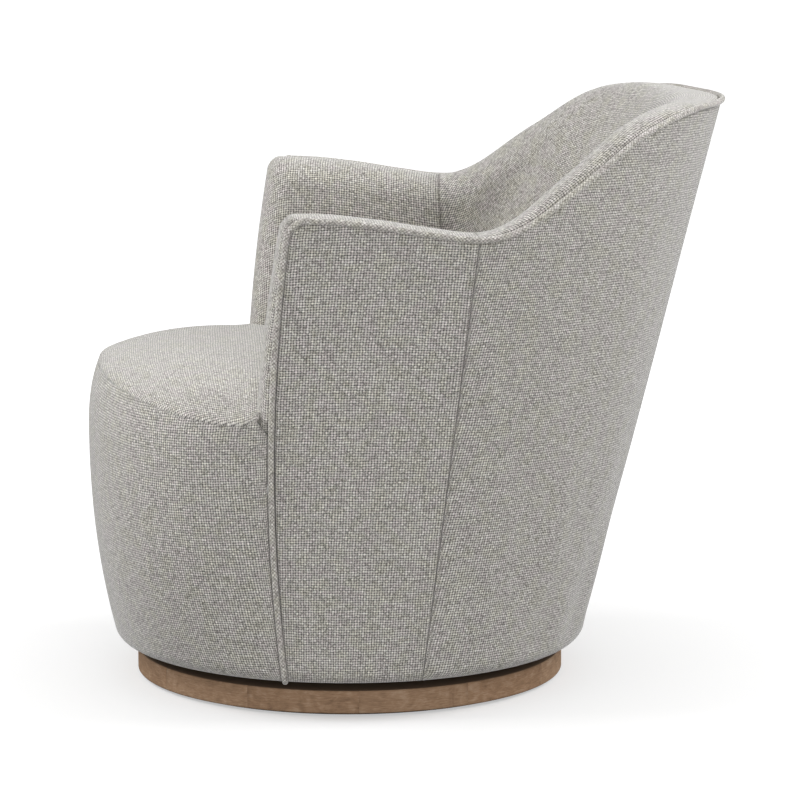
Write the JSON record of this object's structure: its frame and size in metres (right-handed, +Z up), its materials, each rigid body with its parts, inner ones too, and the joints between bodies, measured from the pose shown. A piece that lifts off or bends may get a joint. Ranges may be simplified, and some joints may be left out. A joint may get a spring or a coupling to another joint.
{
  "type": "swivel rocker",
  "caption": "Upholstered tub chair with wrap-around back and domed seat; turns on a round wooden plinth and rocks slightly on a sprung shaft.",
  "frame": {"origin": "on the floor, at the swivel axis", "axes": "+Z up; the sitter faces -Y; +X is the sitter's left"},
  "size_m": [0.7554, 0.8375, 0.7665],
  "materials": {
    "upholstery": "heathered coarse weave",
    "plinth_wood": "weathered, matt",
    "deck_board": "black stain, matt",
    "glide_felt": "felt",
    "frame_wood": "unfinished",
    "zinc_steel": "zinc plated",
    "black_steel": "satin black",
    "nylon": "natural",
    "rubber": "matt",
    "webbing": "elastic weave",
    "lining": "non-woven"
  },
  "bodies": {
    "base": {"plinth_ring": "plinth_wood", "plinth_deck": "deck_board", "deck_screws": "zinc_steel", "floor_glide_ring": "glide_felt", "lower_swivel_plate": "zinc_steel", "plate_screws": "black_steel", "kingpin": "black_steel", "kingpin_nut": "zinc_steel"},
    "ball_carrier": {"bearing_balls": "zinc_steel", "bearing_cage": "nylon"},
    "turntable": {"upper_swivel_plate": "zinc_steel", "centre_bush": "nylon", "rocker_cradle": "black_steel", "cradle_bolts": "zinc_steel", "pivot_bushes": "nylon", "rubber_bumpers": "rubber", "front_springs": "black_steel", "rear_springs": "black_steel"},
    "chair_body": {"rocker_saddle": "black_steel", "pivot_shaft": "zinc_steel", "shaft_clips": "zinc_steel", "saddle_bolts": "zinc_steel", "cross_rails": "frame_wood", "bottom_frame_ring": "frame_wood", "glue_blocks": "frame_wood", "front_formers": "frame_wood", "front_seat_rail": "frame_wood", "side_seat_rails": "frame_wood", "rear_seat_rail": "frame_wood", "arm_front_posts": "frame_wood", "arm_rear_posts": "frame_wood", "arm_rails": "frame_wood", "back_formers": "frame_wood", "back_top_rail": "frame_wood", "seat_springs": "zinc_steel", "spring_clips": "black_steel", "spring_cover": "lining", "back_webbing": "webbing", "dust_cover": "lining", "seat_top": "upholstery", "seat_front_band": "upholstery", "inside_arm_left": "upholstery", "inside_arm_right": "upholstery", "inside_back": "upholstery", "outside_arm_left": "upholstery", "outside_arm_right": "upholstery", "outside_back": "upholstery", "welt_piping": "upholstery"}
  },
  "joints": [
    {"name": "swivel", "type": "hinge", "parent": "base", "child": "turntable", "pos_m": [0, 0, 0.034], "axis": [0, 0, 1], "continuous": true},
    {"name": "ball_race", "type": "hinge", "parent": "base", "child": "ball_carrier", "pos_m": [0, 0, 0.034], "axis": [0, 0, 1], "continuous": true},
    {"name": "rock", "type": "hinge", "parent": "turntable", "child": "chair_body", "pos_m": [0, 0.04, 0.07], "axis": [1, 0, 0], "range_deg": [-2.4, 1.8], "stiffness_Nm_per_rad": 2500, "deforming": ["front_springs", "rear_springs"]}
  ],
  "couplings": [
    {"joint": "ball_race", "follows": "swivel", "ratio": 0.5}
  ]
}
